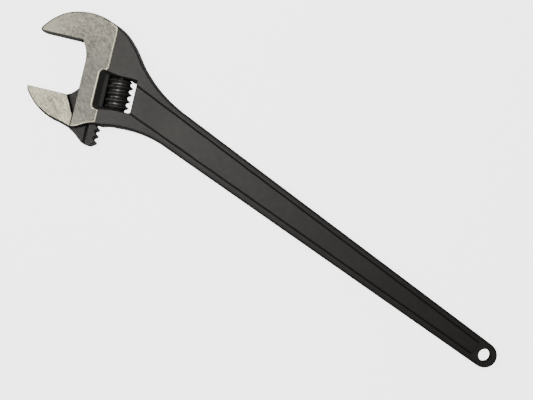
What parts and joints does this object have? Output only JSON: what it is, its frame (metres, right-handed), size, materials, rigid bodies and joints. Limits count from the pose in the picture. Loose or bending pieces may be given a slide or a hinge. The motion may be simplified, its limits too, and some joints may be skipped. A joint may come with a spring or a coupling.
{
  "type": "adjustable wrench",
  "caption": "Black forged adjustable wrench: fixed jaw and long handle in one piece, sliding jaw with a rack, knurled worm, ground head faces and a hanging hole.",
  "frame": {"origin": "centre of the fixed jaw's clamping face, at mid thickness", "axes": "+X along the handle towards the hanging hole, +Y towards the fixed jaw's side, +Z out of the front face; the wrench lies flat"},
  "size_m": [0.6081, 0.1257, 0.029],
  "materials": {
    "blackened_steel": "black phosphate with ground bright faces on the head",
    "jaw_steel": "ground bright faces, black edges and rack",
    "oiled_steel": "black oxide, oiled",
    "pin_steel": "turned, dark",
    "spring_steel": "bright wire"
  },
  "bodies": {
    "body": {"wrench_body": "blackened_steel", "worm_pin": "pin_steel", "worm_spring": "spring_steel"},
    "jaw": {"movable_jaw": "jaw_steel"},
    "worm": {"adjusting_worm": "oiled_steel"}
  },
  "joints": [
    {"name": "jaw_slide", "type": "slide", "parent": "body", "child": "jaw", "axis": [0.3827, -0.9239, 0], "range_m": [-0.0605, 0.0012]},
    {"name": "worm_spin", "type": "hinge", "parent": "body", "child": "worm", "pos_m": [0.08256, -0.0177, 0], "axis": [-0.3827, 0.9239, 0], "range_deg": [-2985, 60]}
  ],
  "couplings": [
    {"joint": "worm_spin", "follows": "jaw_slide", "rad_per_m": 860.71}
  ]
}
